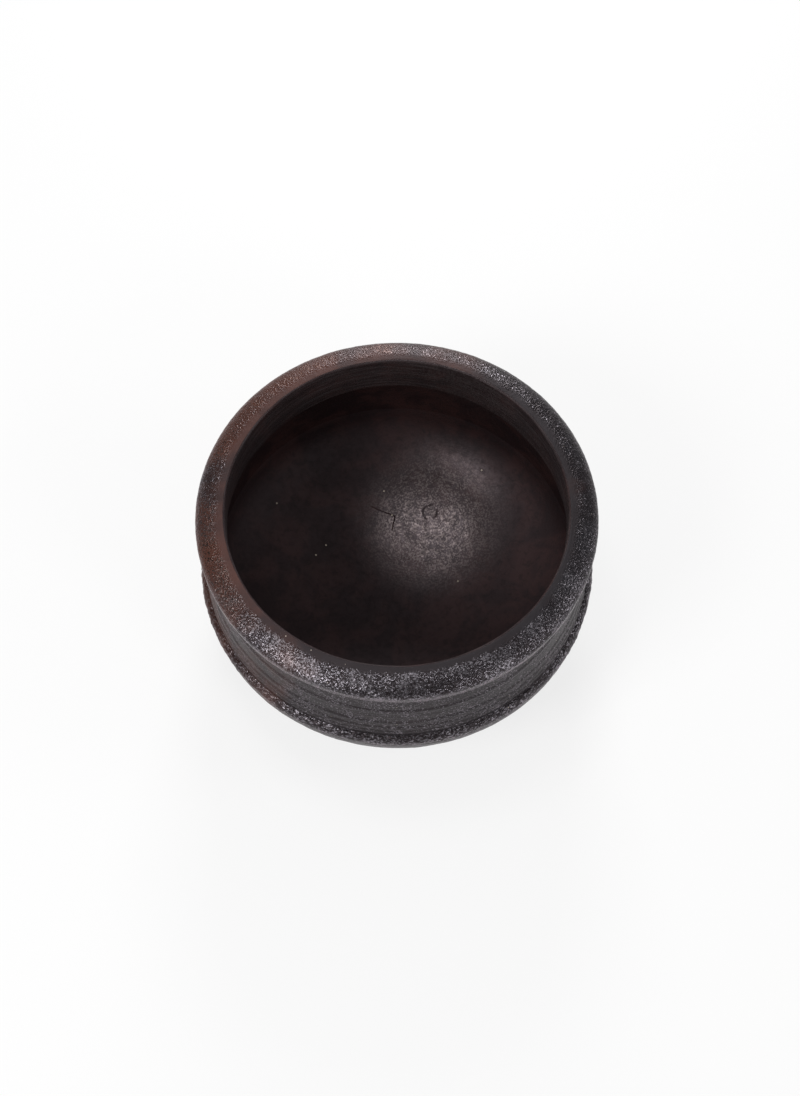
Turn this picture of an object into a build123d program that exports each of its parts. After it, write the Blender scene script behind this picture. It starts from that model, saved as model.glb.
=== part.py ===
from build123d import *
import os
from math import acos, cos, degrees, radians, sin, sqrt

# A round-bottomed cooking pot of smoke-blackened clay, built up by hand: a pressed
# base, coils for the bowl and the neck, a cordon filling the groove at the shoulder
# and a heavy rim. Every member is luted to the next on a bevelled edge, so the joints
# are cones that slope down towards the inside of the wall.
# Millimetres, +Z up, origin in the middle of the flat that the pot rests on.

# ---- driving dimensions ----
mouth_radius = 106.0        # clear radius of the mouth, which a lid's spigot enters
throat_length = 16.0        # straight, cylindrical length of the mouth
mouth_edge_round = 1.5      # rounding of the mouth's top edge
lip_width = 19.0            # mouth wall to the outermost point of the rim
lip_height = 18.0           # top of the rim to the sharp arris under it
lip_crest_drop = 7.5        # top of the rim down to its outermost point
lip_undercut = 3.2          # how far the arris lies inside the outermost point
neck_step = 10.0            # mouth wall to the outside of the neck, at its top
neck_flare = 8.5            # how much wider the neck is at its foot
neck_height = 51.5          # arris under the rim to the foot of the neck
inner_ridge_drop = 34.0     # top of the rim down to the ridge inside the neck
inner_ridge_flare = 2.5     # how much wider the ridge is than the mouth
neck_recess = 3.5           # how far the wall steps back below that ridge
rib_drops = (24.0, 36.5, 43.0, 47.5)  # arris down to each throwing rib on the neck
rib_width = 4.4
rib_height = 0.5
shoulder_height = 7.5       # foot of the neck down to the widest level of the bowl
shoulder_step = 3.4         # how much wider the bowl is than the foot of the neck
cordon_groove = 3.0         # depth of the groove that the cordon fills
cordon_bulge = 2.3          # how far the cordon stands out of the groove
bowl_depth = 64.0           # widest level of the bowl down to the resting face
bowl_wall = 10.0            # wall at the widest level
inner_belly_drop = 9.0      # the inside is widest this far below the outside
floor_thickness = 8.5       # clay under the middle of the bowl
foot_radius = 40.0          # flat that the pot rests on
base_seam_level = 18.0      # outer seam between base and bowl, above the resting face
bowl_seam_drop = 22.0       # widest level down to the outer seam between the bowl coils
neck_seam_drop = 30.5       # arris down to the outer seam between the neck coils
lip_seam_drop = 7.0         # arris down to the outer seam between rim and neck
base_bevel = 27.0           # slope of each joint, degrees up towards the inside
bowl_bevel = 0.0
shoulder_bevel = -35.0
neck_bevel = -40.0
joint_reach = 20.0          # how far the cutting lines run, which is past the wall

# ---- levels and radii that follow ----
belly_level = bowl_depth
neck_foot_level = belly_level + shoulder_height
arris_level = neck_foot_level + neck_height
crest_level = arris_level + lip_height - lip_crest_drop
top_level = arris_level + lip_height
throat_top = top_level - mouth_edge_round
ridge_level = top_level - inner_ridge_drop
inner_belly_level = belly_level - inner_belly_drop

crest_radius = mouth_radius + lip_width
arris_radius = crest_radius - lip_undercut
neck_top_radius = mouth_radius + neck_step
neck_foot_radius = neck_top_radius + neck_flare
belly_radius = neck_foot_radius + shoulder_step
ridge_radius = mouth_radius + inner_ridge_flare
inner_belly_radius = belly_radius - bowl_wall
cove = arris_radius - neck_top_radius
bowl_axis = bowl_depth / sqrt(1 - (foot_radius / belly_radius) ** 2)
inner_bowl_axis = inner_belly_level - floor_thickness


def neck_radius(level):
    """Outside of the neck, a straight taper from its foot to the cove under the rim."""
    taper = neck_flare / (neck_height - cove)
    return neck_foot_radius - taper * (level - neck_foot_level)


def bowl_radius(level):
    """Outside of the bowl, a stretch of an ellipse."""
    return belly_radius * sqrt(1 - ((belly_level - level) / bowl_axis) ** 2)


# ---- the pot's wall, as one section ----
foot_edge = (foot_radius, 0)
belly = (belly_radius, belly_level)
neck_foot = (neck_foot_radius, neck_foot_level)
cove_foot = (neck_top_radius, arris_level - cove)
arris = (arris_radius, arris_level)
crest = (crest_radius, crest_level)
lip_top = (mouth_radius + mouth_edge_round, top_level)
throat_edge = (mouth_radius, throat_top)
throat_foot = (mouth_radius, throat_top - throat_length)
ridge = (ridge_radius, ridge_level)
recess = (ridge_radius + neck_recess, ridge_level - neck_recess)
inner_belly = (inner_belly_radius, inner_belly_level)
floor_centre = (0, floor_thickness)

with BuildSketch() as pot_wall:
    with BuildLine():
        Line((0, 0), foot_edge)
        bowl_turn = degrees(acos(foot_radius / belly_radius))
        EllipticalCenterArc(
            (0, belly_level), belly_radius, bowl_axis, -bowl_turn, arc_size=bowl_turn
        )
        Line(belly, neck_foot)
        below = neck_foot
        for drop in reversed(rib_drops):
            rib_foot = arris_level - drop - rib_width / 2
            rib_top = arris_level - drop + rib_width / 2
            Line(below, (neck_radius(rib_foot), rib_foot))
            below = (neck_radius(rib_top), rib_top)
            SagittaArc((neck_radius(rib_foot), rib_foot), below, -rib_height)
        Line(below, cove_foot)
        CenterArc((arris_radius, arris_level - cove), cove, 90, 90)
        TangentArc(crest, arris, tangent=(0, -1))
        EllipticalCenterArc(
            (lip_top[0], crest_level), crest_radius - lip_top[0], lip_crest_drop, 0, arc_size=90
        )
        CenterArc((lip_top[0], throat_top), mouth_edge_round, 90, 90)
        Line(throat_edge, throat_foot)
        Line(throat_foot, ridge)
        Line(ridge, recess)
        TangentArc(inner_belly, recess, tangent=(0, 1))
        EllipticalCenterArc(
            (0, inner_belly_level), inner_belly_radius, inner_bowl_axis, 270, arc_size=90
        )
        Line(floor_centre, (0, 0))
    make_face()


# ---- the joints, each a line from outside the wall, through it, to inside ----
def inside(seam, slope):
    """The inner end of a bevel that starts at a seam, past the wall."""
    run = Vector(cos(radians(slope)), -sin(radians(slope))) * joint_reach
    return Vector(*seam) - run


def bevel(seam, slope):
    """A straight bevel through the wall from a seam on its outside."""
    return [(clear_radius, seam[1]), seam, inside(seam, slope)]


clear_radius = max(belly_radius, crest_radius) + joint_reach
groove_root = (
    (belly_radius + neck_foot_radius) / 2 - cordon_groove,
    (belly_level + neck_foot_level) / 2,
)
shoulder_end = inside(groove_root, shoulder_bevel)
bowl_seam_level = belly_level - bowl_seam_drop
neck_seam_level = arris_level - neck_seam_drop
lip_seam_level = arris_level - lip_seam_drop
base_joint = bevel((bowl_radius(base_seam_level), base_seam_level), base_bevel)
bowl_joint = bevel((bowl_radius(bowl_seam_level), bowl_seam_level), bowl_bevel)
bowl_side = [(clear_radius, belly_level), belly, groove_root, shoulder_end]
neck_side = [(clear_radius, neck_foot_level), neck_foot, groove_root, shoulder_end]
neck_joint = bevel((neck_radius(neck_seam_level), neck_seam_level), neck_bevel)
lip_joint = bevel((neck_radius(lip_seam_level), lip_seam_level), neck_bevel)
below_pot = [(clear_radius, -joint_reach), (0, -joint_reach), (0, base_joint[-1].Y)]
above_pot = [
    (clear_radius, top_level + joint_reach),
    (lip_joint[-1].X, top_level + joint_reach),
]


def course(under, over):
    """The stretch of the pot's wall between two joints, as a section."""
    with BuildSketch() as stretch:
        add(pot_wall.sketch)
        with BuildLine():
            Polyline(*under, *reversed(over), close=True)
        make_face(mode=Mode.INTERSECT)
    return stretch.sketch


base_section = course(below_pot, base_joint)
lower_bowl_section = course(base_joint, bowl_joint)
upper_bowl_section = course(bowl_joint, bowl_side)
lower_neck_section = course(neck_side, neck_joint)
upper_neck_section = course(neck_joint, lip_joint)
lip_section = course(lip_joint, above_pot)

os.makedirs("parts", exist_ok=True)

# ---- pressed base, with the flat that the pot rests on ----
with BuildPart() as round_base:
    with BuildSketch(Plane.XZ):
        add(base_section)
    revolve(axis=Axis.Z)

round_base.part.label = "round_base"
export_step(round_base.part, "parts/round_base.step")

# ---- two coils that raise the bowl to the shoulder ----
with BuildPart() as lower_bowl_coil:
    with BuildSketch(Plane.XZ):
        add(lower_bowl_section)
    revolve(axis=Axis.Z)

lower_bowl_coil.part.label = "lower_bowl_coil"
export_step(lower_bowl_coil.part, "parts/lower_bowl_coil.step")

with BuildPart() as upper_bowl_coil:
    with BuildSketch(Plane.XZ):
        add(upper_bowl_section)
    revolve(axis=Axis.Z)

upper_bowl_coil.part.label = "upper_bowl_coil"
export_step(upper_bowl_coil.part, "parts/upper_bowl_coil.step")

# ---- cordon: a thin coil pressed into the groove where the neck meets the bowl ----
with BuildPart() as shoulder_cordon:
    with BuildSketch(Plane.XZ):
        with BuildLine():
            SagittaArc(belly, neck_foot, -cordon_bulge)
            Polyline(neck_foot, groove_root, belly)
        make_face()
    revolve(axis=Axis.Z)

shoulder_cordon.part.label = "shoulder_cordon"
export_step(shoulder_cordon.part, "parts/shoulder_cordon.step")

# ---- two coils thrown into the ribbed neck ----
with BuildPart() as lower_neck_coil:
    with BuildSketch(Plane.XZ):
        add(lower_neck_section)
    revolve(axis=Axis.Z)

lower_neck_coil.part.label = "lower_neck_coil"
export_step(lower_neck_coil.part, "parts/lower_neck_coil.step")

with BuildPart() as upper_neck_coil:
    with BuildSketch(Plane.XZ):
        add(upper_neck_section)
    revolve(axis=Axis.Z)

upper_neck_coil.part.label = "upper_neck_coil"
export_step(upper_neck_coil.part, "parts/upper_neck_coil.step")

# ---- heavy rim, which also holds the straight throat of the mouth ----
with BuildPart() as rim_lip:
    with BuildSketch(Plane.XZ):
        add(lip_section)
    revolve(axis=Axis.Z)

rim_lip.part.label = "rim_lip"
export_step(rim_lip.part, "parts/rim_lip.step")
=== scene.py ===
# %% [markdown]
# # A hand-built black clay cooking pot
#
# A cooking pot of this kind is built up from a few members of soft clay. The base is pressed round, coils
# are luted on to make the bowl and the neck, a coarse strip is pressed into the groove at the shoulder, and
# a heavy lip is thrown on top. Then it is smoked black in the fire.
#
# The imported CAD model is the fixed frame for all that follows. It gives the levels where one member ends
# and the next begins, so nothing here is fitted by eye. Every length is in metres.

# %% Load the frame
import math

import bpy
import numpy as np
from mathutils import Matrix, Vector


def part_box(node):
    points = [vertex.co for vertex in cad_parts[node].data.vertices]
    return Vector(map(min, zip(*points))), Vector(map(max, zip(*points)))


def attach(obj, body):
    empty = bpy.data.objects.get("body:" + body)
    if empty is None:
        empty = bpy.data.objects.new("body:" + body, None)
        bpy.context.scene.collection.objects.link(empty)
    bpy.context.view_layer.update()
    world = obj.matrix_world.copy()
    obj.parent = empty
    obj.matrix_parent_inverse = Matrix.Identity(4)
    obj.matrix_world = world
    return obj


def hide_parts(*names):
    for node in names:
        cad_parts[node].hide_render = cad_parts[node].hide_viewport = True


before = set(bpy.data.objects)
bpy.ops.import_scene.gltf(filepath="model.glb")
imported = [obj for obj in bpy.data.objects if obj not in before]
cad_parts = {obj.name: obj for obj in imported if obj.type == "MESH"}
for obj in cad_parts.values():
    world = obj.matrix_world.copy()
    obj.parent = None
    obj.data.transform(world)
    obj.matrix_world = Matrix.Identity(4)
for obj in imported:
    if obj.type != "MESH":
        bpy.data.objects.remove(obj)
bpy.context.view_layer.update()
MM = 0.001
print("members:", ", ".join(sorted(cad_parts)))

# %% [markdown]
# ## The levels of the joints
#
# A joint runs through the wall at a slant, so each one has a level on the outside and another on the
# inside. The corners of the CAD members' boxes are exactly these levels. Reading them here, and not typing
# them in, keeps the clay pieces the same size as the members that they stand for.

# %% Joint levels and driving radii
def lowest(member):
    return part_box(member)[0].z


def highest(member):
    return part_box(member)[1].z


def widest(member):
    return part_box(member)[1].x


BASE_SEAM, BASE_SEAM_INSIDE = lowest("lower_bowl_coil"), highest("round_base")
BOWL_SEAM = lowest("upper_bowl_coil")
BELLY, NECK_FOOT = lowest("shoulder_cordon"), highest("shoulder_cordon")
GROOVE_ROOT, SHOULDER_INSIDE = highest("upper_bowl_coil"), lowest("lower_neck_coil")
NECK_SEAM, NECK_SEAM_INSIDE = highest("lower_neck_coil"), lowest("upper_neck_coil")
LIP_SEAM, LIP_SEAM_INSIDE = highest("upper_neck_coil"), lowest("rim_lip")
TOP = highest("rim_lip")

LIP_RADIUS = widest("rim_lip")
BELLY_RADIUS = widest("upper_bowl_coil")
FOOT_RADIUS = 40 * MM
GROOVE_RADIUS = 123.2 * MM
NECK_FOOT_RADIUS = 124.5 * MM
NECK_TOP_RADIUS = 116 * MM
MOUTH_RADIUS = 106 * MM
WALL = 10 * MM
print(f"belly {BELLY_RADIUS:.4f} m, lip {LIP_RADIUS:.4f} m, top {TOP:.4f} m")

# %% [markdown]
# ## The outline of the wall
#
# A pot that was turned on a wheel is one outline carried round an axis. The outline is drawn once, from the
# underside, up the outside, over the lip and down the inside to the floor. It is made of a few strokes:
# ovals for the bowl and the lip, a swelling for the cordon, and a straight neck with low ribs on it.
#
# Each stroke is a short list of (radius, level) points. A stroke knows how far apart its points stand,
# because the lip and the ribs need a fine mesh and the bowl doesn't.

# %% Strokes
def straight(start, end, spacing):
    """Points on the straight line from one (radius, level) to another."""
    count = max(1, round(math.dist(start, end) / spacing))
    return [tuple(a + (b - a) * i / count for a, b in zip(start, end)) for i in range(count + 1)]


def oval(centre, across, up, start, end, spacing):
    """Points on an upright oval from one angle to another, in degrees, where 90 is its top."""
    first, last = math.radians(start), math.radians(end)
    longest = max(across, up) * abs(last - first)
    count = max(2, round(longest / spacing))
    angles = [first + (last - first) * i / count for i in range(count + 1)]
    return [(centre[0] + across * math.cos(a), centre[1] + up * math.sin(a)) for a in angles]


def angle_at(level, centre_level, up):
    """The angle at which an oval's right-hand side passes a level, in degrees."""
    return math.degrees(math.asin((level - centre_level) / up))


def swelling(start, end, height, spacing):
    """A round arc that stands out by a height from the straight line between two points."""
    a, b = Vector(start), Vector(end)
    half = (b - a).length / 2
    radius = (half ** 2 + height ** 2) / (2 * height)
    outward = Vector((b.y - a.y, a.x - b.x)).normalized()
    centre = (a + b) / 2 + outward * (height - radius)
    first = math.degrees(math.atan2(*(a - centre).yx))
    last = math.degrees(math.atan2(*(b - centre).yx))
    return oval(centre, radius, radius, first, last, spacing)


print("a quarter of the lip's oval:", len(oval((0, 0), 17.5 * MM, 7.5 * MM, 0, 90, MM)), "points")

# %% [markdown]
# ## The outside, from the underside to the lip
#
# The bowl is a little more than a quarter of an oval that is cut flat at the foot. The neck leans in, and
# four low ribs are left on it by the edge of the potter's scraper. Under the lip a quarter-round hollow
# ends in a sharp arris, which catches the light all the way round the real pot.

# %% The outside strokes
BOWL_DEPTH = BELLY
BOWL_UP = BOWL_DEPTH / math.sqrt(1 - (FOOT_RADIUS / BELLY_RADIUS) ** 2)
RIB_LEVELS = [99 * MM, 86.5 * MM, 80 * MM, 75.5 * MM]
RIB_WIDTH, RIB_HEIGHT = 4.4 * MM, 0.5 * MM
CORDON_SWELLING = 2.3 * MM
COVE_LEVEL, COVE_RADIUS = 117.2 * MM, 5.8 * MM
ARRIS = (NECK_TOP_RADIUS + COVE_RADIUS, COVE_LEVEL + COVE_RADIUS)
CREST_LEVEL, CREST_ACROSS = 133.5 * MM, 17.5 * MM
EDGE_ROUND = 1.5 * MM
CAP_RADIUS = 38 * MM
FINE, MEDIUM, COARSE = 0.55 * MM, 0.8 * MM, 1.8 * MM


def bowl_outside(low, high):
    angles = [angle_at(level, BELLY, BOWL_UP) for level in (low, high)]
    return oval((0, BELLY), BELLY_RADIUS, BOWL_UP, *angles, COARSE)


def neck_outside(low, high):
    """The leaning neck between two levels, with its ribs."""
    points = []
    lean = (NECK_TOP_RADIUS - NECK_FOOT_RADIUS) / (COVE_LEVEL - NECK_FOOT)
    for _, level in straight((0, low), (0, high), FINE):
        radius = NECK_FOOT_RADIUS + lean * (level - NECK_FOOT)
        for rib in RIB_LEVELS:
            radius += RIB_HEIGHT * max(0, 1 - ((level - rib) / (RIB_WIDTH / 2)) ** 2)
        points.append((radius, level))
    return points


def lip_face():
    """The lip's outer face: an arc that leaves the arris leaning out and reaches the crest upright."""
    out, up = LIP_RADIUS - ARRIS[0], CREST_LEVEL - ARRIS[1]
    radius = (out ** 2 + up ** 2) / (2 * out)
    start = angle_at(ARRIS[1], CREST_LEVEL, radius)
    return oval((LIP_RADIUS - radius, CREST_LEVEL), radius, radius, start, 0, FINE)


crest_centre = (LIP_RADIUS - CREST_ACROSS, CREST_LEVEL)
edge_centre = (MOUTH_RADIUS + EDGE_ROUND, TOP - EDGE_ROUND)
lip_outside = [
    *neck_outside(LIP_SEAM, COVE_LEVEL),
    *reversed(oval((ARRIS[0], COVE_LEVEL), COVE_RADIUS, COVE_RADIUS, 90, 180, FINE)),
    *lip_face(),
    *oval(crest_centre, CREST_ACROSS, TOP - CREST_LEVEL, 0, 90, MEDIUM),
    *oval(edge_centre, EDGE_ROUND, EDGE_ROUND, 90, 180, FINE),
]
print("lip outside:", len(lip_outside), "points")

# %% [markdown]
# ## The inside, from the mouth to the floor
#
# The throat drops straight from the mouth's edge. Below it the wall steps out over a low ridge into the
# wide belly, and then one long oval runs down to the floor.

# %% The inside strokes
THROAT_FOOT = (MOUTH_RADIUS, 123.5 * MM)
RIDGE = (108.5 * MM, 107 * MM)
RECESS = (112 * MM, 103.5 * MM)
INNER_BELLY = 55 * MM
FLOOR = 8.5 * MM
INNER_RADIUS = BELLY_RADIUS - WALL
WELL_RADIUS = 24 * MM

lip_seam_share = (THROAT_FOOT[1] - LIP_SEAM_INSIDE) / (THROAT_FOOT[1] - RIDGE[1])
LIP_SEAM_POINT = (THROAT_FOOT[0] + (RIDGE[0] - THROAT_FOOT[0]) * lip_seam_share, LIP_SEAM_INSIDE)
SIDE_OUT, SIDE_UP = INNER_RADIUS - RECESS[0], RECESS[1] - INNER_BELLY
SIDE_RADIUS = (SIDE_OUT ** 2 + SIDE_UP ** 2) / (2 * SIDE_OUT)


def side_inside(high, low):
    """The gently hollow inner side of the neck and the shoulder, from a level down to another."""
    angles = [angle_at(level, INNER_BELLY, SIDE_RADIUS) for level in (high, low)]
    return oval((INNER_RADIUS - SIDE_RADIUS, INNER_BELLY), SIDE_RADIUS, SIDE_RADIUS, *angles, MEDIUM)


def bowl_inside(high, low):
    angles = [angle_at(level, INNER_BELLY, INNER_BELLY - FLOOR) for level in (high, low)]
    return oval((0, INNER_BELLY), INNER_RADIUS, INNER_BELLY - FLOOR, *angles, COARSE)


def floor_level(radius):
    """The level of the bowl's floor at a distance from the axis."""
    return INNER_BELLY - (INNER_BELLY - FLOOR) * math.sqrt(1 - (radius / INNER_RADIUS) ** 2)


print("floor at the axis:", floor_level(0), "m")

# %% [markdown]
# ## One list of strokes, member by member
#
# Here the outline is put together in order, up the outside and down the inside. Each stroke says which
# member it belongs to. The last point of a stroke is the first point of the next.

# %% The whole outline
STROKES = [
    ("round_base", straight((CAP_RADIUS, 0), (FOOT_RADIUS, 0), COARSE)),
    ("round_base", bowl_outside(0, BASE_SEAM)),
    ("lower_bowl_coil", bowl_outside(BASE_SEAM, BOWL_SEAM)),
    ("upper_bowl_coil", bowl_outside(BOWL_SEAM, BELLY)),
    ("shoulder_cordon",
     swelling((BELLY_RADIUS, BELLY), (NECK_FOOT_RADIUS, NECK_FOOT), CORDON_SWELLING, FINE)),
    ("lower_neck_coil", neck_outside(NECK_FOOT, NECK_SEAM)),
    ("upper_neck_coil", neck_outside(NECK_SEAM, LIP_SEAM)),
    ("rim_lip", lip_outside),
    ("rim_lip", straight((MOUTH_RADIUS, TOP - EDGE_ROUND), THROAT_FOOT, MEDIUM)),
    ("rim_lip", straight(THROAT_FOOT, LIP_SEAM_POINT, MEDIUM)),
    ("upper_neck_coil", straight(LIP_SEAM_POINT, RIDGE, FINE)),
    ("upper_neck_coil", straight(RIDGE, RECESS, FINE)),
    ("upper_neck_coil", side_inside(RECESS[1], NECK_SEAM_INSIDE)),
    ("lower_neck_coil", side_inside(NECK_SEAM_INSIDE, SHOULDER_INSIDE)),
    ("upper_bowl_coil", side_inside(SHOULDER_INSIDE, INNER_BELLY)),
    ("upper_bowl_coil", bowl_inside(INNER_BELLY, BOWL_SEAM)),
    ("lower_bowl_coil", bowl_inside(BOWL_SEAM, BASE_SEAM_INSIDE)),
    ("round_base", bowl_inside(BASE_SEAM_INSIDE, floor_level(WELL_RADIUS))),
]
MEMBERS = list(dict.fromkeys(member for member, _ in STROKES))
SAME_POINT = 0.02 * MM

outline, face_member = [], []
for member, points in STROKES:
    for point in points:
        if outline and math.dist(point, outline[-1]) < SAME_POINT:
            continue
        if outline:
            face_member.append(MEMBERS.index(member))
        outline.append(point)
ring_level = np.array([level for _, level in outline])
ring_radius = np.array([radius for radius, _ in outline])
ring_along = np.concatenate([[0], np.cumsum(np.hypot(np.diff(ring_radius), np.diff(ring_level)))])
mouth_ring = int(np.argmax(ring_level))
ring_inside = np.arange(len(outline)) > mouth_ring
print(len(outline), "points round the wall,", round(ring_along[-1] / MM), "mm long")

# %% [markdown]
# ## Helpers for editing as by hand
#
# Operators act on whatever is selected, so each edit starts by clearing the selection and then picks what
# it needs by number or by place.

# %% Selecting
def deselect_objects():
    if bpy.context.object and bpy.context.object.mode != "OBJECT":
        bpy.ops.object.mode_set(mode="OBJECT")
    bpy.ops.object.select_all(action="DESELECT")


def make_active(piece):
    deselect_objects()
    piece.select_set(True)
    bpy.context.view_layer.objects.active = piece


def values_of(piece, name, kind=np.float32):
    """A point attribute of a piece as an array."""
    values = np.zeros(len(piece.data.vertices), kind)
    piece.data.attributes[name].data.foreach_get("value", values)
    return values


def places_of(piece):
    places = np.zeros(len(piece.data.vertices) * 3, np.float32)
    piece.data.vertices.foreach_get("co", places)
    return places.reshape(-1, 3)


def select_points(piece, chosen):
    """Selects the chosen points, with the edges that run between them, and opens the piece for editing."""
    make_active(piece)
    bpy.ops.object.mode_set(mode="EDIT")
    bpy.ops.mesh.select_mode(type="VERT")
    bpy.ops.mesh.select_all(action="DESELECT")
    bpy.ops.object.mode_set(mode="OBJECT")
    ends = np.zeros(len(piece.data.edges) * 2, np.int32)
    piece.data.edges.foreach_get("vertices", ends)
    ends = ends.reshape(-1, 2)
    piece.data.vertices.foreach_set("select", chosen)
    piece.data.edges.foreach_set("select", chosen[ends[:, 0]] & chosen[ends[:, 1]])
    bpy.ops.object.mode_set(mode="EDIT")


def apply_modifier(piece, kind, **settings):
    make_active(piece)
    modifier = piece.modifiers.new(kind.lower(), kind)
    for name, value in settings.items():
        setattr(modifier, name, value)
    bpy.ops.object.modifier_apply(modifier=modifier.name)


deselect_objects()
print("nothing is selected")

# %% [markdown]
# ## Drawing the outline and turning it
#
# A small plane is merged into one point, and that point is extruded along the outline. Each point is given
# the number of its ring and its distance along the wall while the outline is still a single line. The Screw
# modifier then works as the wheel does: it turns the line round the axis and closes it on itself, and every
# ring keeps the number and the weights of the point that drew it.

# %% Draw the line
make_active(next(iter(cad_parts.values())))
deselect_objects()
bpy.ops.mesh.primitive_plane_add(size=MM, location=(0, 0, 0))
wall = bpy.context.object
wall.name = "turned_wall"
bpy.ops.object.mode_set(mode="EDIT")
bpy.ops.mesh.select_all(action="SELECT")
bpy.ops.mesh.merge(type="CENTER")
bpy.ops.transform.translate(value=(outline[0][0], 0, outline[0][1]))
for here, there in zip(outline, outline[1:]):
    bpy.ops.mesh.extrude_region_move(
        TRANSFORM_OT_translate={"value": (there[0] - here[0], 0, there[1] - here[1])})
bpy.ops.object.mode_set(mode="OBJECT")

drawn = places_of(wall)[:, [0, 2]]
targets = np.stack([ring_radius, ring_level], axis=1)
ring_of_point = np.array([np.argmin(np.hypot(*(targets - point).T)) for point in drawn])
rings = wall.data.attributes.new("ring", "INT", "POINT")
rings.data.foreach_set("value", ring_of_point.astype(np.int32))
along = wall.data.attributes.new("along", "FLOAT", "POINT")
along.data.foreach_set("value", ring_along[ring_of_point].astype(np.float32))
inner = wall.data.attributes.new("inner", "FLOAT", "POINT")
inner.data.foreach_set("value", ring_inside[ring_of_point].astype(np.float32))
print("line of", len(drawn), "points, each ring once:", len(set(ring_of_point)) == len(outline))

# %% [markdown]
# ## Where each kind of mark belongs
#
# The marks of making are not the same all over. The lip's slope is gritty and the strip at the mouth is
# wiped smooth, the cordon is the roughest, and the foot has to stay flat. A vertex group says how much of a
# mark each ring takes, from 0 to 1. The weights are given to the line, and turning it copies them round.
# The slow waves are eased off towards the lip, so that the pot keeps its height and its width.

# %% Weights along the outline
def ramp(value, low, high):
    """0 below low, 1 above high, and a soft rise between them."""
    share = np.clip((value - low) / (high - low), 0, 1)
    return share * share * (3 - 2 * share)


def band(value, low, high, soft):
    return ramp(value, low - soft, low) * (1 - ramp(value, high, high + soft))


outside = ~ring_inside
clear_of_foot = np.where(outside, ramp(ring_level, 0.5 * MM, 8 * MM), 1)
from_mouth = ring_along[mouth_ring] - ring_along
arris_ring = int(np.argmin(np.hypot(ring_radius - ARRIS[0], ring_level - ARRIS[1]) + 1.0 * ring_inside))
on_lip = (np.arange(len(outline)) > arris_ring) & outside
EASED_FROM, EASED_TO, EASED_SHARE = 116 * MM, 133 * MM, 0.65
eased_at_lip = 1 - EASED_SHARE * ramp(ring_level, EASED_FROM, EASED_TO)
MARKS = {
    "whole": clear_of_foot * eased_at_lip,
    "grit": on_lip * ramp(from_mouth, 3.5 * MM, 8 * MM),
    "edge": on_lip * (1 - ramp(from_mouth, 3 * MM, 7 * MM)),
    "cordon": outside * band(ring_level, BELLY, NECK_FOOT, 2 * MM),
    "neck": outside * band(ring_level, NECK_FOOT + MM, COVE_LEVEL, 2 * MM),
    "neck_inside": ring_inside * ramp(ring_level, 96 * MM, 106 * MM),
    "bowl": outside * clear_of_foot * (1 - ramp(ring_level, BELLY - 6 * MM, BELLY)),
    "hollow": ring_inside * (1 - ramp(ring_level, 90 * MM, 100 * MM)),
}
for mark, weights in MARKS.items():
    group = wall.vertex_groups.new(name=mark)
    for point, ring in enumerate(ring_of_point):
        group.add([point], float(weights[ring]), "REPLACE")
print("marks:", ", ".join(MARKS))

# %% [markdown]
# ## The turn of the wheel
#
# Turned and closed, the wall still has a hole at the foot and another at the middle of the floor. The foot
# is flat, so one face closes it. The floor is curved and in plain sight, so it is filled with a grid, which
# has no pinched point at its middle, and the grid is pressed down to the curve of the bowl.

# %% Turn the wall and close its floor
STEPS = 720
apply_modifier(wall, "SCREW", angle=2 * math.pi, steps=STEPS, render_steps=STEPS,
               use_merge_vertices=True, merge_threshold=0.001 * MM)
for layer in list(wall.data.uv_layers):
    wall.data.uv_layers.remove(layer)

face_rings = np.zeros(len(wall.data.polygons) * 4, np.int32)
wall.data.polygons.foreach_get("vertices", face_rings)
face_rings = values_of(wall, "ring", np.int32)[face_rings].reshape(-1, 4).min(axis=1)
owner = wall.data.attributes.new("owner", "INT", "FACE")
owner.data.foreach_set("value", np.array(face_member, np.int32)[face_rings])

last_ring = len(outline) - 1
select_points(wall, values_of(wall, "ring", np.int32) == 0)
bpy.ops.mesh.edge_face_add()
bpy.ops.object.mode_set(mode="OBJECT")
select_points(wall, values_of(wall, "ring", np.int32) == last_ring)
bpy.ops.mesh.fill_grid(span=STEPS // 4, use_interp_simple=True)
bpy.ops.mesh.select_all(action="SELECT")
bpy.ops.mesh.normals_make_consistent(inside=False)
bpy.ops.object.mode_set(mode="OBJECT")

places = places_of(wall)
middle = np.hypot(places[:, 0], places[:, 1])
in_well = (values_of(wall, "ring", np.int32) == last_ring) & (middle < WELL_RADIUS - SAME_POINT)
places[in_well, 2] = [floor_level(radius) for radius in middle[in_well]]
wall.data.vertices.foreach_set("co", places.ravel())
print("turned wall:", len(wall.data.vertices), "points,", len(wall.data.polygons), "faces")

# %% [markdown]
# ## The marks of making
#
# The marks are real relief, so that the outline of the pot shows them too. Each one is a cloud texture
# pushed along the surface by a Displace modifier. An empty sets the grain's direction: it is long across
# the pot and short upwards for the lines that fingers and scraper leave on a turning wall. All of this is
# done on the one continuous wall, before it is parted into members, so that no mark breaks at a joint.
#
# A middle of a half pushes as much clay out as in. It is only a little more than that for the slow waves,
# because a strong push inwards would thin the wall.

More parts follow.
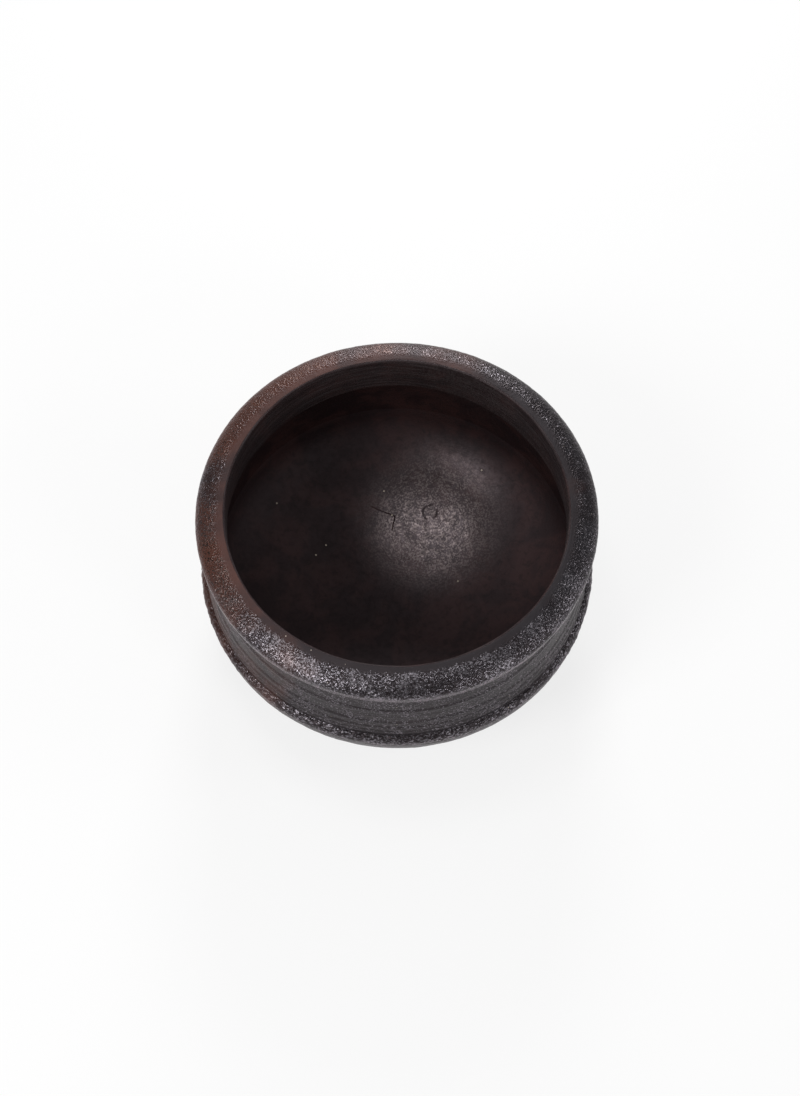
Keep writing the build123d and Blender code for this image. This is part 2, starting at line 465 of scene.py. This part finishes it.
# %% Press the marks into the wall
def press(name, group, size, depth, squeeze=1.0, detail=2, place=(0, 0, 0), middle=0.5):
    """Pushes the wall in and out by a share of depth, in lumps of a size that are squeezed upwards."""
    texture = bpy.data.textures.new(name, "CLOUDS")
    texture.noise_scale = 1.0
    texture.noise_depth = detail
    texture.noise_basis = "IMPROVED_PERLIN"
    deselect_objects()
    bpy.ops.object.empty_add(location=place)
    grain = bpy.context.object
    grain.scale = (size, size, size * squeeze)
    bpy.context.view_layer.update()
    apply_modifier(wall, "DISPLACE", texture=texture, texture_coords="OBJECT", texture_coords_object=grain,
                   vertex_group=group, strength=depth, mid_level=middle)
    bpy.data.objects.remove(grain)


press("out_of_round", "whole", 90 * MM, 1.6 * MM, detail=0, middle=0.53)
press("hand_marks", "whole", 22 * MM, 0.5 * MM, squeeze=0.6, detail=1, place=(0.3, 0.1, 0), middle=0.53)
press("neck_lines", "neck", 60 * MM, 0.20 * MM, squeeze=0.035, detail=2, place=(0.1, 0.2, 0.0))
press("neck_grain", "neck", 3 * MM, 0.18 * MM, squeeze=0.5, detail=2, place=(0.2, 0, 0.1))
press("inner_rings", "neck_inside", 50 * MM, 0.9 * MM, squeeze=0.045, detail=2, place=(0, 0.4, 0.1))
press("inner_grain", "neck_inside", 2.6 * MM, 0.3 * MM, detail=2, place=(0, 0.4, 0.2))
press("lip_lumps", "grit", 7 * MM, 0.32 * MM, detail=1, place=(0.5, 0.1, 0))
press("lip_grit", "grit", 2.2 * MM, 0.42 * MM, detail=3, place=(0.7, 0.1, 0))
press("edge_grain", "edge", 4 * MM, 0.12 * MM, detail=1, place=(0.4, 0.1, 0.6))
press("cordon_lumps", "cordon", 4 * MM, 1.6 * MM, detail=2, place=(0.1, 0.7, 0), middle=0.6)
press("cordon_grit", "cordon", 1.8 * MM, 0.8 * MM, detail=3, place=(0.1, 0.8, 0))
press("bowl_lumps", "bowl", 9 * MM, 0.5 * MM, detail=2, place=(0.3, 0.3, 0.3))
press("bowl_grit", "bowl", 3 * MM, 0.3 * MM, detail=2, place=(0.3, 0.5, 0.3))
press("scraping", "hollow", 14 * MM, 0.22 * MM, squeeze=0.5, detail=2, place=(0.9, 0.5, 0.3))
print("pressed wall:", [round(side / MM, 1) for side in wall.dimensions], "mm")

# %% [markdown]
# ## Parting the wall into its members
#
# Each face knows which member it belongs to. Given a material slot for each member, one separate operator
# cuts the wall into seven open shells. Their edges still match point for point, so no gap can show between
# them.

# %% Separate
lie = wall.data.attributes.new("lie", "FLOAT_VECTOR", "POINT")
normals = np.zeros(len(wall.data.vertices) * 3, np.float32)
wall.data.vertex_normals.foreach_get("vector", normals)
lie.data.foreach_set("vector", normals)
owners = np.zeros(len(wall.data.polygons), np.int32)
wall.data.attributes["owner"].data.foreach_get("value", owners)
for member in MEMBERS:
    wall.data.materials.append(bpy.data.materials.new("part_of_" + member))
wall.data.polygons.foreach_set("material_index", owners)
make_active(wall)
bpy.ops.object.mode_set(mode="EDIT")
bpy.ops.mesh.separate(type="MATERIAL")
bpy.ops.object.mode_set(mode="OBJECT")
shells = {}
for shell in list(bpy.context.selected_objects):
    index = shell.data.attributes["owner"].data[len(shell.data.polygons) // 2].value
    shell.name = "fired_" + MEMBERS[index]
    shell.data.name = shell.name
    shells[MEMBERS[index]] = shell
print({name: len(shell.data.polygons) for name, shell in shells.items()})

# %% [markdown]
# ## Closing each member
#
# A member is a solid piece of clay, so its joint faces are closed by bridging the ring on the outside to
# the ring on the inside. At the shoulder the cordon lies in a groove, so there the outer ring is first
# drawn in to the groove's root, and the bridge starts from that.

# %% Bridge the joints
ROOT_RING = len(outline) + 1


def ring_near(level, inside):
    """The number of the ring on the inside or outside that lies at a level."""
    apart = np.abs(ring_level - level) + 1.0 * (ring_inside != inside)
    return int(np.argmin(apart))


def draw_in(piece, ring, number):
    """Extrudes an open ring to the root of the groove at the shoulder."""
    select_points(piece, values_of(piece, "ring", np.int32) == ring)
    bpy.ops.mesh.extrude_region_move()
    bpy.ops.object.mode_set(mode="OBJECT")
    chosen = np.zeros(len(piece.data.vertices), bool)
    piece.data.vertices.foreach_get("select", chosen)
    places = places_of(piece)
    shrink = GROOVE_RADIUS / np.hypot(places[chosen, 0], places[chosen, 1])
    places[chosen, :2] *= shrink[:, None]
    places[chosen, 2] = GROOVE_ROOT
    piece.data.vertices.foreach_set("co", places.ravel())
    numbers = values_of(piece, "ring", np.int32)
    numbers[chosen] = number
    piece.data.attributes["ring"].data.foreach_set("value", numbers)


def bridge(piece, ring_a, ring_b, cuts):
    numbers = values_of(piece, "ring", np.int32)
    select_points(piece, (numbers == ring_a) | (numbers == ring_b))
    bpy.ops.mesh.bridge_edge_loops(number_cuts=cuts, interpolation="LINEAR")
    bpy.ops.object.mode_set(mode="OBJECT")


belly_ring, neck_foot_ring = ring_near(BELLY, False), ring_near(NECK_FOOT, False)
shoulder_ring = ring_near(SHOULDER_INSIDE, True)
draw_in(shells["upper_bowl_coil"], belly_ring, ROOT_RING)
draw_in(shells["lower_neck_coil"], neck_foot_ring, ROOT_RING)
draw_in(shells["shoulder_cordon"], belly_ring, ROOT_RING)
bridge(shells["upper_bowl_coil"], ROOT_RING, shoulder_ring, 2)
bridge(shells["lower_neck_coil"], ROOT_RING, shoulder_ring, 2)
bridge(shells["shoulder_cordon"], ROOT_RING, neck_foot_ring, 2)
JOINTS = [
    ("round_base", "lower_bowl_coil", BASE_SEAM, BASE_SEAM_INSIDE),
    ("lower_bowl_coil", "upper_bowl_coil", BOWL_SEAM, BOWL_SEAM),
    ("lower_neck_coil", "upper_neck_coil", NECK_SEAM, NECK_SEAM_INSIDE),
    ("upper_neck_coil", "rim_lip", LIP_SEAM, LIP_SEAM_INSIDE),
]
for below, above, level, level_inside in JOINTS:
    for member in (below, above):
        bridge(shells[member], ring_near(level, False), ring_near(level_inside, True), 3)

print("joints closed:", len(JOINTS) + 1)

# %% [markdown]
# ## Shading across the joints
#
# On the real pot the joints were wiped away, so no line may show where two pieces meet. Each piece on its
# own would shade its edge a little differently from its neighbour. So the way that the whole wall faced at
# each point was kept before it was parted, and every face of the skin is shaded with that. The joint faces,
# which lie inside the clay, keep their own flat shading.

# %% Shade the skin
def shade_as_one_wall(piece):
    mesh = piece.data
    faces = np.zeros(len(mesh.polygons), np.int32)
    mesh.polygons.foreach_get("loop_start", faces)
    corners = np.zeros(len(mesh.loops), np.int32)
    mesh.loops.foreach_get("vertex_index", corners)
    numbers = values_of(piece, "ring", np.int32)[corners]
    high, low = np.maximum.reduceat(numbers, faces), np.minimum.reduceat(numbers, faces)
    skin = (high - low == 1) | (low == last_ring)
    count = np.diff(np.append(faces, len(corners)))
    kept = np.zeros(len(mesh.vertices) * 3, np.float32)
    mesh.attributes["lie"].data.foreach_get("vector", kept)
    facing = kept.reshape(-1, 3)[corners]
    facing[~np.repeat(skin, count)] = 0
    mesh.normals_split_custom_set(facing)


SHARP = math.radians(50)
for piece in shells.values():
    make_active(piece)
    bpy.ops.object.mode_set(mode="EDIT")
    bpy.ops.mesh.select_all(action="SELECT")
    bpy.ops.mesh.normals_make_consistent(inside=False)
    bpy.ops.mesh.select_all(action="DESELECT")
    bpy.ops.mesh.select_non_manifold()
    bpy.ops.object.mode_set(mode="OBJECT")
    open_points = sum(point.select for point in piece.data.vertices)
    bpy.ops.object.shade_smooth_by_angle(angle=SHARP)
    shade_as_one_wall(piece)
    piece.vertex_groups.clear()
    print(piece.name, len(piece.data.polygons), "faces,", open_points, "open points")

# %% [markdown]
# ## A small language for materials
#
# Fired clay needs a good deal of arithmetic on textures. Written as nodes it is hard to read, so a small
# class wraps a socket and lets Python's own operators add the Math nodes. Every other node comes from one
# method, which takes the node's type, its settings and the values or links of its sockets.

# %% Expressions on sockets
class Num:
    """A value that changes over the surface. Python's operators on it add Math nodes."""

    def __init__(self, finish, socket):
        self.finish, self.socket = finish, socket

    def math(self, operation, *values):
        return self.finish.node("ShaderNodeMath", {"operation": operation}, *values)

    def __add__(self, other):
        return self.math("ADD", self, other)

    def __sub__(self, other):
        return self.math("SUBTRACT", self, other)

    def __rsub__(self, other):
        return self.math("SUBTRACT", other, self)

    def __mul__(self, other):
        return self.math("MULTIPLY", self, other)

    def __truediv__(self, other):
        return self.math("DIVIDE", self, other)

    __radd__, __rmul__ = __add__, __mul__


class Graph:
    """A node tree that is written as expressions."""

    def __init__(self, tree):
        self.tree = tree

    def node(self, kind, settings=None, *values, output=0, **named):
        made = self.tree.nodes.new(kind)
        for key, value in (settings or {}).items():
            setattr(made, key, value)
        for key, value in [*enumerate(values), *named.items()]:
            socket = made.inputs[key.replace("_", " ") if isinstance(key, str) else key]
            if isinstance(value, Num):
                self.tree.links.new(value.socket, socket)
            else:
                socket.default_value = value
        return Num(self, made.outputs[output])

    def link(self, value, socket):
        self.tree.links.new(value.socket, socket)

    def fade(self, value, low, high, start=0.0, end=1.0):
        """start below low, end above high, and a soft change between them. Low may be above high."""
        return self.node("ShaderNodeMapRange", {"interpolation_type": "SMOOTHSTEP"}, Value=value,
                         From_Min=low, From_Max=high, To_Min=start, To_Max=end)

    def seen_directly(self):
        """1 for rays from the camera, from a reflection or through glass."""
        camera, glossy, glass = [self.node("ShaderNodeLightPath", output=name)
                                 for name in ("Is Camera Ray", "Is Glossy Ray", "Is Transmission Ray")]
        return camera.math("MAXIMUM", camera.math("MAXIMUM", camera, glossy), glass)


class Finish(Graph):
    """A material with textures as expressions. Lengths are in metres, and heights in millimetres."""

    def __init__(self, name):
        self.material = bpy.data.materials.new(name)
        self.material.use_nodes = True
        super().__init__(self.material.node_tree)
        self.shader = self.tree.nodes["Principled BSDF"]
        self.place = self.node("ShaderNodeTexCoord", output="Object")

    def vector(self, operation, *values, output=0, **named):
        return self.node("ShaderNodeVectorMath", {"operation": operation}, *values, output=output, **named)

    def attribute(self, name):
        return self.node("ShaderNodeAttribute", {"attribute_name": name}, output="Fac")

    def part(self, place, axis):
        """One coordinate of a place: 0, 1 or 2."""
        return self.node("ShaderNodeSeparateXYZ", None, place, output=axis)

    def noise(self, place, size, detail=2.0, rough=0.5, twist=0.0):
        """Clouds from 0 to 1 in lumps of a size."""
        return self.node("ShaderNodeTexNoise", None, Vector=place, Scale=1 / size, Detail=detail,
                         Roughness=rough, Distortion=twist)

    def cells(self, place, size, output="Distance"):
        return self.node("ShaderNodeTexVoronoi", None, Vector=place, Scale=1 / size, output=output)

    def mix(self, share, first, second):
        """A colour between two colours. The Mix node keeps its colours in sockets 6 and 7."""
        first_socket, second_socket = 6, 7
        made = self.node("ShaderNodeMix", {"data_type": "RGBA"}, share, output=2)
        for index, value in ((first_socket, first), (second_socket, second)):
            socket = made.socket.node.inputs[index]
            if isinstance(value, Num):
                self.tree.links.new(value.socket, socket)
            else:
                socket.default_value = (*value, 1)
        return made

    def round_the_pot(self, across, upward):
        """Coordinates for grain that follows the turning: one unit is a length round the pot and another
        length up the wall."""
        flat = self.vector("MULTIPLY", self.place, (1, 1, 0))
        turn = self.vector("SCALE", self.vector("NORMALIZE", flat), Scale=LIP_RADIUS / across)
        climb = self.node("ShaderNodeCombineXYZ", None, 0, 0, self.attribute("along") / upward)
        return self.vector("ADD", turn, climb)

    def relief(self, height, strength=1.0):
        """Raises the surface by a height in millimetres."""
        bump = self.node("ShaderNodeBump", None, Strength=strength, Distance=MM, Height=height)
        self.feed("Normal", bump)

    def feed(self, name, value):
        socket = self.shader.inputs[name]
        if isinstance(value, Num):
            self.tree.links.new(value.socket, socket)
        else:
            socket.default_value = value


print("finishes are ready to be written")

# %% [markdown]
# ## Smoke, fire clouds and pale grit
#
# The black comes from smoke that is trapped round the hot pot. It never settles evenly: where the flame
# reached the clay it is reddish brown, where the smoke was thick it is a cool blue black. Small pale grains
# of sand show in the clay, and a few larger ones stand out.
#
# The sparkle comes from specks of mica. They are a second colour with full Metallic, grey in the smoked
# clay and bronze in a fire cloud. Bump alone can't show them, because grains this small melt together at a
# distance. The sheen of the clay itself is tinted a little warm.

# %% Colours of the firing
SOOT = (0.0125, 0.0100, 0.0108)
BROWN = (0.075, 0.029, 0.020)
STEEL = (0.0150, 0.0165, 0.0200)
# The grey of ash in the turning lines. Inside the neck the same grey is also painted light.
ASH_AND_PAINTED_LIGHT = (0.046, 0.038, 0.039)
WARM_SHEEN = (1.0, 0.86, 0.92)
MICA = (0.23, 0.213, 0.235)
BRONZE = (0.135, 0.088, 0.074)
SAND = (0.42, 0.36, 0.30)
TO_FLAME = (-4.4, 4.4, 0)
TO_SMOKE = (5.5, -2.0, 0)


def smoked(finish, brown_amount, steel_amount):
    """The mottled colour of the clay, its patches, and the colour of its mica. The flame came from behind on
    the left."""
    clouds = finish.noise(finish.place, 55 * MM, 3, 0.55, 0.4)
    patches = finish.noise(finish.place, 14 * MM, 4, 0.6)
    to_flame = finish.vector("DOT_PRODUCT", finish.place, TO_FLAME, output="Value")
    to_smoke = finish.vector("DOT_PRODUCT", finish.place, TO_SMOKE, output="Value")
    brown = finish.fade(clouds + to_flame * 0.30 + patches * 0.25, 0.58, 0.98) * brown_amount
    steel = finish.fade(clouds * -0.4 + to_smoke * 0.3 + patches * 0.4, 0.0, 0.45) * steel_amount
    colour = finish.mix(brown, SOOT, BROWN)
    return finish.mix(steel, colour, STEEL), patches, finish.mix(brown, MICA, BRONZE)


def pale_grains(finish, spacing, size, share):
    """A mask of sand grains: a share of the cells of a size have one."""
    near = finish.cells(finish.place, spacing)
    chance = finish.part(finish.cells(finish.place, spacing, "Color"), 0)
    here = finish.fade(chance, 1 - share, 1 - share + 0.001)
    return finish.fade(near, size / spacing, 0.6 * size / spacing) * here


print("firing colours:", SOOT, BROWN, STEEL)

# %% [markdown]
# ## The wiped inside
#
# The inside was scraped and then wiped with a wet hand, and cooking oil has sunk into it. It is brown black
# with a soft sheen on the floor, and dull up the wall. The sheen is broken up by fine scratches in every
# direction, by the arcs of the wiping and by small pits. All of that is shallow, so it belongs in the
# material and not in the mesh. Paler, metallic specks stand for oil in the pores, which makes the middle of
# the floor shine a little more.

# %% The finish of the inside
WIPE_CENTRE = (25 * MM, 53 * MM, 0)
GRAINS_INSIDE = [(-9.1, 76.5, 19.8), (-56.4, 27.8, 15.7), (-49.6, 35.8, 15.3), (42.5, 9.5, 11.8),
                 (-3.4, 59.8, 14.9), (60, 86, 33), (-84, 60, 32)]
SCRATCHES = [((-18.3, 65.8), (-1.3, 59.0)), ((-1.3, 59.0), (-3.4, 48.9))]
SWIRLS = [((23.5, 61.4), 5.0, 1.0), ((37, 75.8), 1.8, 0.6)]
OILED = (0.108, 0.089, 0.088)
WALL_DARK, WALL_BROWN = (0.0140, 0.0066, 0.0068), (0.0290, 0.0122, 0.0112)
WALL_SOOT = (0.0055, 0.0048, 0.0048)
SCRATCH_HEIGHT, ARC_HEIGHT, LINE_HEIGHT, MOTTLE_HEIGHT, PIT_HEIGHT = 0.075, 0.035, 0.05, 0.06, 0.05
CUT_DEPTH, NECK_GRAIN_HEIGHT, GRAIN_HEIGHT = 0.12, 0.4, 0.3
FLOOR_ROUGH, DULLER_UP_THE_WALL = 0.29, 0.34


def stroke(finish, place, length, width, turn, seed):
    """Fine scratches that run one way across the floor."""
    turned = finish.node("ShaderNodeMapping", None, Vector=place,
                         Rotation=(0, 0, turn), Location=(seed, 0, 0))
    squeezed = finish.vector("MULTIPLY", turned, (1 / length, 1 / width, 1 / length))
    return finish.noise(squeezed, 1.0, 1.0)


def deep_scratch(finish, flat, start, end, width=0.5 * MM):
    """A mask along the straight line between two places on the floor, in millimetres."""
    first = Vector((*start, 0)) * MM
    run = Vector((*end, 0)) * MM - first
    from_first = finish.vector("SUBTRACT", flat, first[:])
    share = finish.vector("DOT_PRODUCT", from_first, (run / run.length_squared)[:], output="Value")
    share = finish.node("ShaderNodeClamp", None, share)
    along_run = finish.vector("SCALE", run[:], Scale=share)
    away = finish.vector("DISTANCE", from_first, along_run, output="Value")
    return finish.fade(away, width, 0.4 * width)


def swirl(finish, flat, centre, radius, width):
    """A mask on a small circle, in millimetres."""
    away = finish.vector("DISTANCE", flat, (centre[0] * MM, centre[1] * MM, 0), output="Value")
    off_line = away.math("ABSOLUTE", away - radius * MM)
    return finish.fade(off_line, width * MM, 0.3 * width * MM)


def wiped_inside(finish):
    """The colour, roughness, relief in millimetres and oiled specks of the inside."""
    place = finish.place
    patches = finish.noise(place, 26 * MM, 3, 0.6, 0.6)
    mottle = finish.noise(place, 4.5 * MM, 4, 0.65, 0.5)
    pits = finish.noise(place, 1.4 * MM, 2, 0.6)
    scratches = 0
    for index in range(4):
        turn = math.pi * index / 4 + 0.3
        scratches = stroke(finish, place, 9 * MM, 0.55 * MM, turn, 0.3 * index) * 0.25 + scratches
    from_wipe = finish.vector("SUBTRACT", place, WIPE_CENTRE)
    flat = finish.vector("MULTIPLY", from_wipe, (1, 1, 0))
    reach = finish.vector("LENGTH", flat, output="Value")
    swing = finish.vector("SCALE", finish.vector("NORMALIZE", flat), Scale=2.6)
    arcs = finish.noise(finish.vector("ADD", swing, finish.node(
        "ShaderNodeCombineXYZ", None, 0, 0, reach / (1.3 * MM))), 1.0, 2.0, 0.6)
    lines = finish.noise(finish.round_the_pot(40 * MM, 1.1 * MM), 1.0, 2.0, 0.6)
    up_the_wall = finish.fade(finish.part(place, 2), 22 * MM, 60 * MM)
    height = (scratches * SCRATCH_HEIGHT + arcs * ARC_HEIGHT * (1 - up_the_wall)
              + lines * LINE_HEIGHT * up_the_wall)
    height = height + mottle * MOTTLE_HEIGHT + pits * PIT_HEIGHT
    colour = finish.mix(finish.fade(patches, 0.40, 0.66), WALL_DARK, WALL_BROWN)
    colour = finish.mix(finish.fade(mottle, 0.50, 0.68) * 0.5, colour, WALL_SOOT)
    # Painted light: the band at the top of the inside is painted a lighter grey. It stands for the light that
    # falls in at the mouth and reaches only the top of the wall, and the grey is stronger along its turning
    # lines.
    neck_band = finish.fade(finish.part(place, 2), 99 * MM, 108 * MM)
    colour = finish.mix(neck_band * (0.15 + finish.fade(lines, 0.45, 0.62) * 0.5), colour, ASH_AND_PAINTED_LIGHT)
    height = height + neck_band * finish.noise(place, 1.3 * MM, 2) * NECK_GRAIN_HEIGHT
    flat_place = finish.vector("MULTIPLY", place, (1, 1, 0))
    cut = 0
    for start, end in SCRATCHES:
        cut = deep_scratch(finish, flat_place, start, end) + cut
    for centre, radius, width in SWIRLS:
        cut = swirl(finish, flat_place, centre, radius, width) * finish.fade(mottle, 0.45, 0.60) * 0.5 + cut
    cut = cut * (1 - up_the_wall)
    height = height - cut * CUT_DEPTH
    rough = FLOOR_ROUGH + finish.fade(mottle, 0.35, 0.65) * 0.10 + cut * 0.4
    rough = rough + finish.fade(reach, 32 * MM, 64 * MM) * DULLER_UP_THE_WALL
    streaks = scratches * 0.45 + arcs * 0.13 + pits * 0.42 - cut * 0.2
    glint = finish.fade(streaks, 0.485, 0.545) * finish.fade(reach, 62 * MM, 26 * MM)
    colour = finish.mix(glint, colour, OILED)
    for grain in GRAINS_INSIDE:
        away = finish.vector("DISTANCE", place, tuple(side * MM for side in grain), output="Value")
        shown = finish.fade(away, 0.95 * MM, 0.45 * MM)
        colour = finish.mix(shown, colour, SAND)
        height = height + shown * GRAIN_HEIGHT
    return colour, rough, height, glint


print("inside:", len(GRAINS_INSIDE), "large grains,", len(SCRATCHES), "deep scratches,",
      len(SWIRLS), "small swirls")

# %% [markdown]
# ## The outside finishes
#
# Four finishes share the firing's colours and differ in their grain. The lip has hard bright grit on its
# slope and a dull wiped strip at the mouth. The neck has long fine lines from the turning. The cordon is
# the coarsest, and the bowl is scraped and sooty. Each one turns into the inside's finish past the mouth.

# %% The finish of the outside
TO_HAND = (3.0, 6.0, 0)
STRIP_EDGE, STRIP_FULL, STRIP_RAGGED = 8.2 * MM, 3.8 * MM, 5 * MM
STRIP_HIDES, HAND_HIDES = 0.22, 0.075
SPECKS_FROM, SPECKS_FULL, MORE_WITH_MICA = 0.62, 0.69, 0.16


def wiped_rim(finish):
    """The strip at the mouth that a hand has smoothed, and how far it has smoothed the right and the back."""
    from_mouth = ring_along[mouth_ring] - finish.attribute("along")
    ragged = finish.noise(finish.round_the_pot(12 * MM, 12 * MM), 1.0, 3.0)
    strip = finish.fade(from_mouth + ragged * STRIP_RAGGED, STRIP_EDGE, STRIP_FULL)
    to_hand = finish.vector("DOT_PRODUCT", finish.place, TO_HAND, output="Value")
    return strip, finish.fade(to_hand, -0.6, 0.6)


def clay_finish(name, grit, grit_height, lines_height, rough, brown, steel, mica, wiped=None):
    """The outside of a clay: its finish, colour, roughness, relief in millimetres and specks of mica."""
    finish = Finish(name)
    colour, patches, mica_colour = smoked(finish, brown, steel)
    grain = finish.round_the_pot(1.5 * grit, grit)
    lumps = finish.noise(grain, 1.0, 2.0, 0.6)
    specks = finish.noise(grain, 0.95, 3.0, 0.7) + (patches - 0.5) * 0.25
    if wiped:
        strip, smoothed = wiped(finish)
        specks = specks - strip * STRIP_HIDES - smoothed * HAND_HIDES
    more = MORE_WITH_MICA * mica
    glint = finish.fade(specks, SPECKS_FROM - more, SPECKS_FULL - more)
    dust = finish.noise(finish.place, 0.45 * MM, 1.0)
    lines = finish.noise(finish.round_the_pot(34 * MM, 0.8 * MM), 1.0, 2.5, 0.6)
    long_lines = finish.noise(finish.round_the_pot(60 * MM, 2.6 * MM), 1.0, 1.0)
    hot = finish.fade(patches, 0.35, 0.7)
    height = lumps * grit_height + dust * 0.02 + lines * lines_height
    colour = finish.mix(finish.fade(long_lines * 0.5 + lines * 0.5, 0.50, 0.72) * min(1, 9 * lines_height),
                        colour, ASH_AND_PAINTED_LIGHT)
    colour = finish.mix(pale_grains(finish, 5 * MM, 0.45 * MM, 0.10), colour, SAND)
    rough_now = rough + (hot - 0.5) * 0.08
    if wiped:
        height = height * (1 - strip * 0.8)
        rough_now = rough_now + strip * 0.20
    return finish, finish.mix(glint, colour, mica_colour), rough_now, height, glint


def finish_with_inside(finish, colour, rough, height, glint, gloss):
    """Joins an outside finish to the wiped inside at the mouth, and feeds the shader."""
    inside = finish.fade(finish.attribute("inner"), 0.2, 0.8)
    colour_in, rough_in, height_in, glint_in = wiped_inside(finish)
    finish.feed("Base Color", finish.mix(inside, colour, colour_in))
    finish.feed("Roughness", rough + (rough_in - rough) * inside)
    finish.relief(height + (height_in - height) * inside)
    finish.feed("Metallic", glint + (glint_in - glint) * inside)
    finish.feed("Specular IOR Level", gloss)
    finish.feed("Specular Tint", (*WARM_SHEEN, 1))
    return finish.material


def rim_finish():
    made = clay_finish("rim_clay", grit=1.0 * MM, grit_height=0.45, lines_height=0.0, rough=0.27,
                       brown=1.0, steel=0.8, mica=0.78, wiped=wiped_rim)
    return finish_with_inside(*made, gloss=0.35)


def neck_finish():
    made = clay_finish("neck_clay", grit=0.8 * MM, grit_height=0.10, lines_height=0.08, rough=0.40,
                       brown=1.0, steel=0.5, mica=0.36)
    return finish_with_inside(*made, gloss=0.22)


def cordon_finish():
    made = clay_finish("cordon_clay", grit=1.2 * MM, grit_height=0.60, lines_height=0.03, rough=0.32,
                       brown=1.0, steel=0.5, mica=0.6)
    return finish_with_inside(*made, gloss=0.35)


def bowl_finish():
    made = clay_finish("bowl_clay", grit=1.4 * MM, grit_height=0.30, lines_height=0.05, rough=0.42,
                       brown=1.0, steel=0.6, mica=0.3)
    return finish_with_inside(*made, gloss=0.5)


FINISHES = {
    "rim_lip": ("rim_clay", rim_finish()),
    "upper_neck_coil": ("neck_clay", neck_finish()),
    "shoulder_cordon": ("cordon_clay", cordon_finish()),
    "upper_bowl_coil": ("bowl_clay", bowl_finish()),
}
FINISHES["lower_neck_coil"] = FINISHES["upper_neck_coil"]
FINISHES["lower_bowl_coil"] = FINISHES["round_base"] = FINISHES["upper_bowl_coil"]
print("finishes:", sorted({slot for slot, _ in FINISHES.values()}))

# %% [markdown]
# ## Each piece takes its place in the frame
#
# Every fired piece rides on the pot's one body, stands for the CAD member of the same shape, and takes that
# member's material slot.

# %% Ride, replace and slot
for member, piece in shells.items():
    slot, material = FINISHES[member]
    piece.data.materials.clear()
    piece.data.materials.append(material)
    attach(piece, "root")
    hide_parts(member)
print(len(shells), "pieces in place")

# %% [markdown]
# ## The floor
#
# The pot stands on a white floor. Part of the floor's brightness is glow for the camera and for
# reflections, so that it is drawn nearly white, and the rest is paper that takes the pot's shadow.

# %% The floor
deselect_objects()
bpy.ops.mesh.primitive_circle_add(vertices=96, radius=6, fill_type="NGON", location=(0, 0, 0))
floor = bpy.context.object
floor.name = "floor"
PAPER, GLOW_SHARE = 0.86, 0.75
paper = Finish("white_floor")
paper.feed("Base Color", (PAPER, PAPER, PAPER, 1))
paper.feed("Roughness", 0.9)
glow = paper.node("ShaderNodeEmission", None, Color=(1, 1, 1, 1), Strength=1.0)
surface = paper.node("ShaderNodeMixShader", None, paper.seen_directly() * GLOW_SHARE)
paper.tree.links.new(paper.shader.outputs[0], surface.socket.node.inputs[1])
paper.tree.links.new(glow.socket, surface.socket.node.inputs[2])
paper.tree.links.new(surface.socket, paper.tree.nodes["Material Output"].inputs["Surface"])
floor.data.materials.append(paper.material)
print("floor at level", floor.location.z)

# %% [markdown]
# ## The light
#
# The world is plain and dim. It is drawn white for the camera, and reflections see a white horizon under a
# dark ceiling, because black clay under a white ceiling would look grey. Five soft lamps make the sheen:
# one nearly overhead for the floor of the bowl, and four lower ones for the rim and the neck. They are weak
# enough for a colour to look about as it is written.

# %% The world and the lamps
world = bpy.data.worlds.new("studio")
bpy.context.scene.world = world
world.use_nodes = True
AMBIENT, CEILING = 0.30, 0.04
studio = Graph(world.node_tree)
ray = studio.node("ShaderNodeTexCoord", output="Generated")
rise = studio.node("ShaderNodeSeparateXYZ", None, ray, output=2)
walls = studio.fade(rise, 0.03, 0.25, 1.0, CEILING)
direct = studio.node("ShaderNodeLightPath", output="Is Camera Ray")
shown = walls + (1 - walls) * direct
sky = world.node_tree.nodes["Background"]
studio.link(AMBIENT + (shown - AMBIENT) * studio.seen_directly(), sky.inputs["Strength"])
sky.inputs["Color"].default_value = (1, 1, 1, 1)


def direction(azimuth, elevation):
    """A unit vector: azimuth 0 is the front, 90 the right, and elevation is above the floor, in degrees."""
    turn, rise = math.radians(azimuth), math.radians(elevation)
    return Vector((math.sin(turn) * math.cos(rise), -math.cos(turn) * math.cos(rise), math.sin(rise)))


def softbox(name, azimuth, elevation, size, brightness, distance=1.4):
    """A square lamp that faces the mouth of the pot. White paper has a brightness of about 1."""
    towards = direction(azimuth, elevation)
    bpy.ops.object.light_add(type="AREA", location=towards * distance + Vector((0, 0, 0.1)))
    lamp = bpy.context.object
    lamp.name = name
    lamp.rotation_euler = towards.to_track_quat("Z", "Y").to_euler()
    lamp.data.size = size
    lamp.data.energy = math.pi * brightness * size ** 2
    return lamp


softbox("overhead_box", azimuth=-131, elevation=78.5, size=0.32, brightness=10)
softbox("right_box", azimuth=85, elevation=32, size=0.40, brightness=5)
softbox("back_box", azimuth=178, elevation=32, size=0.45, brightness=15)
softbox("left_box", azimuth=-50, elevation=42, size=0.50, brightness=11)
softbox("front_right_box", azimuth=43, elevation=33, size=0.28, brightness=11)

# %% [markdown]
# ## The camera
#
# The camera looks steeply down into the pot from the front, from a little less than a metre away.

# %% The camera
AIM = Vector((0, 0, 0.126))
CAMERA_RISE, CAMERA_DISTANCE = 62.17, 0.940
bpy.ops.object.camera_add(location=AIM + direction(0, CAMERA_RISE) * CAMERA_DISTANCE)
camera = bpy.context.object
camera.rotation_euler = (math.radians(90 - CAMERA_RISE), 0, 0)
camera.data.lens = 49.42
camera.data.shift_x = 0.0029
camera.data.shift_y = -0.0288
scene = bpy.context.scene
scene.camera = camera
scene.view_settings.view_transform = "Standard"
print("camera at", tuple(round(side, 3) for side in camera.location))

# %% [markdown]
# ## Leftover materials
#
# Materials that nothing uses are removed.

# %% Finish
for leftover in [m for m in bpy.data.materials if m.users == 0]:
    bpy.data.materials.remove(leftover)
